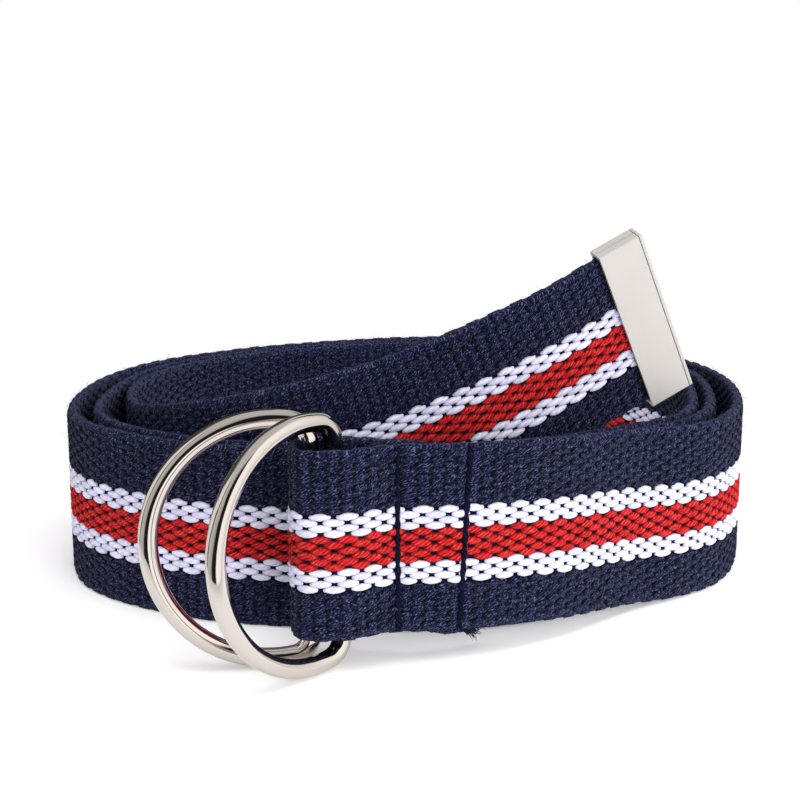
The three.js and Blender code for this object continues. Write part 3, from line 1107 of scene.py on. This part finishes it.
    def lint(self) -> bpy.types.Object:
        """Scatters fine fibres that stand out from the edges and lie on the navy faces.

        Returns:
            The piece.
        """
        web, sizes, random = self.route.webbing, self.lint_sizes, self.random
        count, depth = sizes.count, sizes.edge_depth
        along = random.uniform(0, self.route.mouth_place, count)
        on_edge = random.uniform(0, 1, count) < sizes.edge_share
        side = random.choice([-1.0, 1.0], count)
        navy = random.uniform(*sizes.navy, count) * web.width * random.choice([-1.0, 1.0], count)
        across = np.where(on_edge, side * web.width / 2, navy)
        over = np.where(on_edge, random.uniform(-depth, depth, count) * web.thickness,
                        side * web.thickness * sizes.face_height)
        shortened = np.where(on_edge, sizes.edge_length, 1.0)
        lengths = random.uniform(*sizes.lengths_mm, count) * MM * shortened
        ways = random.normal(0, 1, (count, 3))
        ways[:, 1] = np.where(on_edge, side * np.abs(ways[:, 1]) * sizes.edge_way, ways[:, 1])
        ways[:, 2] = np.where(on_edge, ways[:, 2], side * np.abs(ways[:, 2]) * sizes.face_way)
        return self.hairs("lint", np.column_stack((along, across, over)), ways, lengths, sizes.radius)

    def fray(self) -> bpy.types.Object:
        """Hangs yarn ends from the lower corner of the flap's cut end.

        Returns:
            The piece.
        """
        web, sizes, random = self.route.webbing, self.fray_sizes, self.random
        count, depth = sizes.count, sizes.half_depth
        across = random.uniform(0, sizes.height, count)
        roots = np.column_stack((random.normal(sizes.root_mm, sizes.root_mm, count) * MM,
                                 across - web.width / 2,
                                 random.uniform(-depth, depth, count) * web.thickness))
        ways = np.column_stack((np.full(count, -1.0), random.normal(sizes.fall, sizes.spread, count),
                                random.normal(0, sizes.spread, count)))
        lengths = random.uniform(*sizes.lengths_mm, count) * MM
        return self.hairs("flap_fray", roots, ways, lengths, sizes.radius)

    def stitches(self) -> bpy.types.Object:
        """Sews two rows of thick thread, sunk in the cloth, across both sides of the loop.

        Returns:
            The piece.
        """
        web, sizes = self.route.webbing, self.stitch_sizes
        length = web.width - sizes.short_of_width
        bm = bmesh.new()
        bmesh.ops.create_cone(bm, cap_ends=True, segments=sizes.sides, radius1=sizes.radius,
                              radius2=sizes.radius, depth=length)
        tall = [e for e in bm.edges if e.calc_length() > length / 2]
        bmesh.ops.subdivide_edges(bm, edges=tall, cuts=sizes.cuts, use_grid_fill=True)
        turn_about(bm, "X", -90)
        template = taken_from(bm)
        places = np.array(self.route.stitch_places())
        shape = template.corners
        flat = np.repeat(shape[None], len(places), axis=0)
        lock = np.cos(2 * np.pi * shape[:, 1] / sizes.stitch)
        waist = 1 + sizes.swell * lock
        flat[:, :, 0] = places[:, None] + shape[:, 0] * waist
        over = web.thickness / 2 - sizes.sink + sizes.rise * lock + shape[:, 2] * waist
        flat[:, :, 2] = over / self.route.pinch(flat[:, :, 0].ravel()).reshape(flat.shape[:2])
        copies = self.route.bend(flat.reshape(-1, 3)).reshape(flat.shape)
        return joined_mesh("stitches", template, copies, flat[:, :, :2] / MM)


@dataclass
class Ring:
    """A D ring of round wire: a straight bar, two tight corners and a round belly."""

    node: str
    body: str
    joint: str
    wire: float = 3.8 * MM
    height: float = 50.6 * MM
    depth: float = 34.7 * MM
    corner: float = 4.5 * MM
    sides: int = 28
    bar_steps: int = 4
    corner_steps: int = 14
    belly_steps: int = 150
    weld: float = 0.01 * MM

    def build(self, frame: dict) -> bpy.types.Object:
        """Builds and dresses the ring.

        Args:
            frame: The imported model.

        Returns:
            The piece.
        """
        joint = next(j for j in frame["joints"] if j["name"] == self.joint)
        bar = Vector(joint["pos_m"])
        up = Vector(joint["axis"]).normalized()
        corners = np.array([v.co[:] for v in frame["nodes"][self.node].data.vertices])
        belly = Vector((corners.min(0) + corners.max(0)) / 2) - bar
        away = (belly - up * belly.dot(up)).normalized()
        turn = Matrix((away, up, away.cross(up))).transposed().to_4x4()
        bm = self.wire_mesh()
        bmesh.ops.transform(bm, matrix=Matrix.Translation(bar) @ turn, verts=bm.verts[:])
        piece = bmesh_object(self.node + "_wire", bm)
        piece.data.materials.append(POLISHED_NICKEL.material())
        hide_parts(self.node)
        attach(piece, self.body)
        return piece

    def wire_mesh(self) -> bmesh.types.BMesh:
        """Bends the wire, with its bar on the second axis and its belly towards the first.

        Returns:
            The wire's bmesh.
        """
        radius = (self.height - self.wire) / 2
        middle = self.depth - self.wire - radius
        bar_half = math.sqrt((radius - self.corner) ** 2 - (middle - self.corner) ** 2)
        bend = math.atan2(bar_half, middle - self.corner)
        bm = bmesh.new()
        bmesh.ops.create_circle(bm, cap_ends=False, segments=self.sides, radius=self.wire / 2)
        turn_about(bm, "X", 90)
        on, still, rise = Vector((0, 0, 0)), (0, 0, 0), (0, bar_half / self.bar_steps, 0)
        turns = (
            (on, rise, 0, self.bar_steps),
            (Vector((self.corner, bar_half, 0)), still, -bend, self.corner_steps),
            (Vector((middle, 0, 0)), still, -2 * (math.pi - bend), self.belly_steps),
            (Vector((self.corner, -bar_half, 0)), still, -bend, self.corner_steps),
            (on, rise, 0, self.bar_steps),
        )
        section: list = bm.verts[:] + bm.edges[:]
        for centre, step, angle, steps in turns:
            section = bmesh.ops.spin(bm, geom=section, cent=centre, axis=(0, 0, 1), dvec=step,
                                     angle=angle, steps=steps, use_merge=False,
                                     use_duplicate=False)["geom_last"]
        bmesh.ops.remove_doubles(bm, verts=bm.verts[:], dist=self.weld)
        bmesh.ops.recalc_face_normals(bm, faces=bm.faces[:])
        return bm


@dataclass
class EndTip:
    """The folded tip: two half shells that meet along the middle of the sides."""

    route: StrapRoute
    body: str = "belt"
    seam: float = 0.14 * MM
    end_band: float = 0.75 * MM
    groove: float = 0.2 * MM
    rounding: float = 0.32 * MM

    def build(self) -> bpy.types.Object:
        """Builds and dresses the tip.

        Returns:
            The piece.
        """
        sizes = self.route.tip
        web = self.route.webbing
        inner_thick = sizes.pressed + 2 * web.clearance
        width = web.width + 2 * (sizes.side_room + sizes.plate)
        thick = inner_thick + 2 * sizes.plate
        end = web.clearance + sizes.plate
        mouth = end - sizes.length
        groove_at = end - self.end_band - self.groove
        bm = bmesh.new()
        for side in (1, -1):
            self.half_shell(bm, side, (mouth, groove_at), width, thick / 2, True)
            self.half_shell(bm, side, (groove_at + self.groove, end), width, thick / 2, False)
        last = len(self.route.places) - 1
        tables = (self.route.runs, self.route.ups, self.route.outs)
        turn = Matrix([Vector(table[last]) for table in tables]).transposed().to_4x4()
        place = Matrix.Translation(Vector(self.route.middles[last]))
        bmesh.ops.transform(bm, matrix=place @ turn, verts=bm.verts[:])
        piece = bmesh_object("folded_tip", bm)
        piece.data.shade_flat()
        piece.data.materials.append(SATIN_NICKEL.material())
        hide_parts("end_tip")
        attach(piece, self.body)
        return piece

    def half_shell(self, bm: bmesh.types.BMesh, side: int, span: tuple[float, float],
                   width: float, depth: float, open_end: bool) -> None:
        """Adds a stretch of one half of the tip, open at its near end and towards the strap.

        Args:
            bm: The bmesh to add to.
            side: 1 for the front half and -1 for the back half.
            span: Where the half begins and ends along the strap.
            width: Its outer width.
            depth: How far it reaches from the middle of the strap.
            open_end: Whether its far end is open too.
        """
        shell = bmesh.new()
        bmesh.ops.create_cube(shell, size=1.0)
        length = span[1] - span[0]
        bmesh.ops.scale(shell, vec=(length, width, depth - self.seam / 2), verts=shell.verts[:])
        shift = ((span[0] + span[1]) / 2, 0, side * (depth + self.seam / 2) / 2)
        bmesh.ops.translate(shell, vec=shift, verts=shell.verts[:])
        shell.normal_update()
        open_faces = [f for f in shell.faces if f.normal.x < -0.5 or side * f.normal.z < -0.5
                      or (open_end and f.normal.x > 0.5)]
        bmesh.ops.delete(shell, geom=open_faces, context="FACES_ONLY")
        rim = [e for e in shell.edges if not e.is_boundary]
        bmesh.ops.bevel(shell, geom=rim, offset=self.rounding, offset_type="OFFSET", segments=3,
                        profile=0.5, affect="EDGES", material=-1)
        bmesh.ops.recalc_face_normals(shell, faces=shell.faces[:])
        self.turn_outwards(shell, Vector(shift))
        bmesh.ops.solidify(shell, geom=shell.faces[:], thickness=self.route.tip.plate)
        bmesh.ops.recalc_face_normals(shell, faces=shell.faces[:])
        held = bpy.data.meshes.new("half_shell")
        shell.to_mesh(held)
        shell.free()
        bm.from_mesh(held)
        bpy.data.meshes.remove(held)

    @staticmethod
    def turn_outwards(shell: bmesh.types.BMesh, middle: Vector) -> None:
        """Turns an open shell's faces away from its middle.

        Args:
            shell: The shell.
            middle: Its middle.
        """
        outwards = sum(f.normal.dot(f.calc_center_median() - middle) * f.calc_area()
                       for f in shell.faces)
        if outwards < 0:
            bmesh.ops.reverse_faces(shell, faces=shell.faces[:])


@dataclass
class Studio:
    """The white board, the tent with an opening for the camera, the lights and the camera."""

    camera_at: tuple[float, float, float] = (-2.47 * MM, -354.02 * MM, 118.5 * MM)
    camera_down: float = math.radians(12.7)
    focal_length: float = 72.0
    sensor: float = 36.0
    board_radius: float = 170 * MM
    shaded_radius: float = 115 * MM
    board_glow: float = 0.25
    # Grey of the tent by the bearing of a way in degrees, 0 towards the camera and + to the right.
    tent: tuple[tuple[float, float], ...] = (
        (-180, 0.08), (-142, 0.1), (-132, 1.2), (-104, 1.2), (-98, 0.08), (-92, 0.08), (-86, 0.85),
        (-44, 0.6), (-36, 0.02), (2, 0.02), (10, 1.7), (60, 1.5), (98, 0.95), (104, 0.05), (114, 0.05),
        (120, 0.95), (134, 0.9), (144, 0.08), (180, 0.08),
    )
    # How far to the right the slits lean as they rise, in radians of bearing for a unit of height.
    slant: float = 0.79
    turned: float = 0.32
    # Creases bend the slits: how many noise waves in the room, and how far they bend them.
    crease_rate: float = 5.0
    crease: float = 0.3
    cloth_tint: tuple[float, float, float] = (1.0, 0.985, 0.965)
    # The roof's grey, and the heights of a way between which the cloths turn to it.
    roof: float = 0.78
    roof_heights: tuple[float, float] = (0.72, 0.9)

    def build(self) -> None:
        """Sets the stage round the belt."""
        self.camera()
        self.board()
        self.world()
        self.softbox("key_softbox", at=(0.45, -0.95, 0.36), size=0.6, power=6.6)
        self.softbox("top_softbox", at=(-0.1, -0.2, 1.0), size=0.6, power=3.4)
        self.softbox("rim_softbox", at=(0.75, 0.45, 0.6), size=0.5, power=3.0)
        bpy.context.scene.view_settings.view_transform = "Standard"

    def camera(self) -> None:
        """Places the camera."""
        data = bpy.data.cameras.new("camera")
        data.lens = self.focal_length
        data.sensor_width = self.sensor
        data.clip_start = 0.01
        camera = placed("camera", data)
        camera.location = self.camera_at
        camera.rotation_euler = (math.radians(90) - self.camera_down, 0, 0)
        bpy.context.scene.camera = camera

    def board(self) -> None:
        """Lays a matte white painted board that fades to the tent's white away from the belt.

        The paint has no gloss, so the belt leaves only a soft shadow on it.
        """
        bm = bmesh.new()
        bmesh.ops.create_circle(bm, cap_ends=True, segments=96, radius=self.board_radius)
        board = bmesh_object("white_board", bm)
        material, tree, shader = new_material("matte_white_board")
        white = (1.0, 1.0, 1.0, 1.0)
        set_inputs(tree, shader, {
            "Base Color": to_linear("#f6f6f7"), "Roughness": 0.8, "Emission Color": white,
            "Emission Strength": self.board_glow})
        place = add_node(tree, "ShaderNodeTexCoord").outputs["Object"]
        away = add_node(tree, "ShaderNodeVectorMath", {"operation": "LENGTH"}, {0: place})
        fade = add_node(tree, "ShaderNodeMapRange", SOFT_STEP, {
            "Value": away.outputs["Value"], "From Min": self.shaded_radius,
            "From Max": self.board_radius * 0.97})
        glow = add_node(tree, "ShaderNodeEmission", inputs={"Color": white})
        mixed = add_node(tree, "ShaderNodeMixShader", inputs={
            0: fade.outputs[0], 1: shader.outputs[0], 2: glow.outputs[0]})
        tree.links.new(mixed.outputs[0], tree.nodes["Material Output"].inputs["Surface"])
        board.data.materials.append(material)

    def world(self) -> None:
        """Gives the room a tent of white cloths that hang with dark slits between them.

        The widest slit is the camera's. Polished wire mirrors the slits as fine dark lines along
        its length.
        """
        world = bpy.data.worlds.new("white_tent")
        world.use_nodes = True
        tree = world.node_tree
        background = tree.nodes["Background"]
        way = add_node(tree, "ShaderNodeTexCoord").outputs["Generated"]
        parts = add_node(tree, "ShaderNodeSeparateXYZ", inputs={0: way})
        ahead = add_node(tree, "ShaderNodeMath", {"operation": "MULTIPLY"}, {
            0: parts.outputs["Y"], 1: -1.0})
        bearing = add_node(tree, "ShaderNodeMath", {"operation": "ARCTAN2"}, {
            0: parts.outputs["X"], 1: ahead.outputs[0]})
        creases = add_node(tree, "ShaderNodeTexNoise", inputs={
            "Vector": way, "Scale": self.crease_rate, "Detail": 3.0})
        creased = add_node(tree, "ShaderNodeMath", {"operation": "MULTIPLY_ADD"}, {
            0: creases.outputs["Fac"], 1: self.crease, 2: bearing.outputs[0]})
        leaning = add_node(tree, "ShaderNodeMath", {"operation": "MULTIPLY_ADD"}, {
            0: parts.outputs["Z"], 1: -self.slant, 2: creased.outputs[0]})
        place = add_node(tree, "ShaderNodeMapRange", inputs={
            "Value": leaning.outputs[0], "From Min": self.turned - math.pi,
            "From Max": self.turned + math.pi})
        cloths = add_node(tree, "ShaderNodeValToRGB", inputs={0: place.outputs[0]})
        stops = cloths.color_ramp.elements
        for degrees, _ in self.tent[1:-1]:
            stops.new(degrees / 360 + 0.5)
        for stop, (degrees, grey) in zip(stops, self.tent):
            stop.position = degrees / 360 + 0.5
            stop.color = (*(grey * share for share in self.cloth_tint), 1.0)
        high = add_node(tree, "ShaderNodeMapRange", SOFT_STEP, {
            "Value": parts.outputs["Z"], "From Min": self.roof_heights[0],
            "From Max": self.roof_heights[1]})
        roofed = add_node(tree, "ShaderNodeMix", MIX_COLOURS, {
            0: high.outputs[0], 6: cloths.outputs[0], 7: (self.roof, self.roof, self.roof, 1.0)})
        rays = add_node(tree, "ShaderNodeLightPath")
        seen = add_node(tree, "ShaderNodeMix", MIX_COLOURS, {
            0: rays.outputs["Is Camera Ray"], 6: roofed.outputs[2], 7: (1.0, 1.0, 1.0, 1.0)})
        set_inputs(tree, background, {"Color": seen.outputs[2], "Strength": 1.0})
        bpy.context.scene.world = world

    @staticmethod
    def softbox(name: str, at: tuple[float, float, float], size: float, power: float) -> None:
        """Hangs a square softbox behind the tent's cloth, so that no metal mirrors its shape.

        Args:
            name: The light's name.
            at: Where it hangs.
            size: Its side.
            power: Its power in watts.
        """
        data = bpy.data.lights.new(name, "AREA")
        data.size = size
        data.energy = power
        lamp = placed(name, data)
        lamp.location = at
        lamp.rotation_euler = (-Vector(at)).to_track_quat("-Z", "Y").to_euler()
        lamp.visible_glossy = False


def main() -> None:
    """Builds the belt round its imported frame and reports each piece."""
    logging.basicConfig(level=logging.INFO, format="%(name)s: %(message)s")
    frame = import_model()
    Studio().build()
    route = StrapRoute()
    LOG.info("strap %.3f m long, %.3f mm off the packed strap", route.length, route.misfit / MM)
    pieces = Strap(route).build()
    pieces.append(Ring("ring_front", "front_ring", "front_ring_swing").build(frame))
    pieces.append(Ring("ring_rear", "rear_ring", "rear_ring_swing").build(frame))
    pieces.append(EndTip(route).build())
    for piece in pieces:
        LOG.info("%s: %d triangles", piece.name, triangles(piece))


if __name__ == "__main__":
    main()
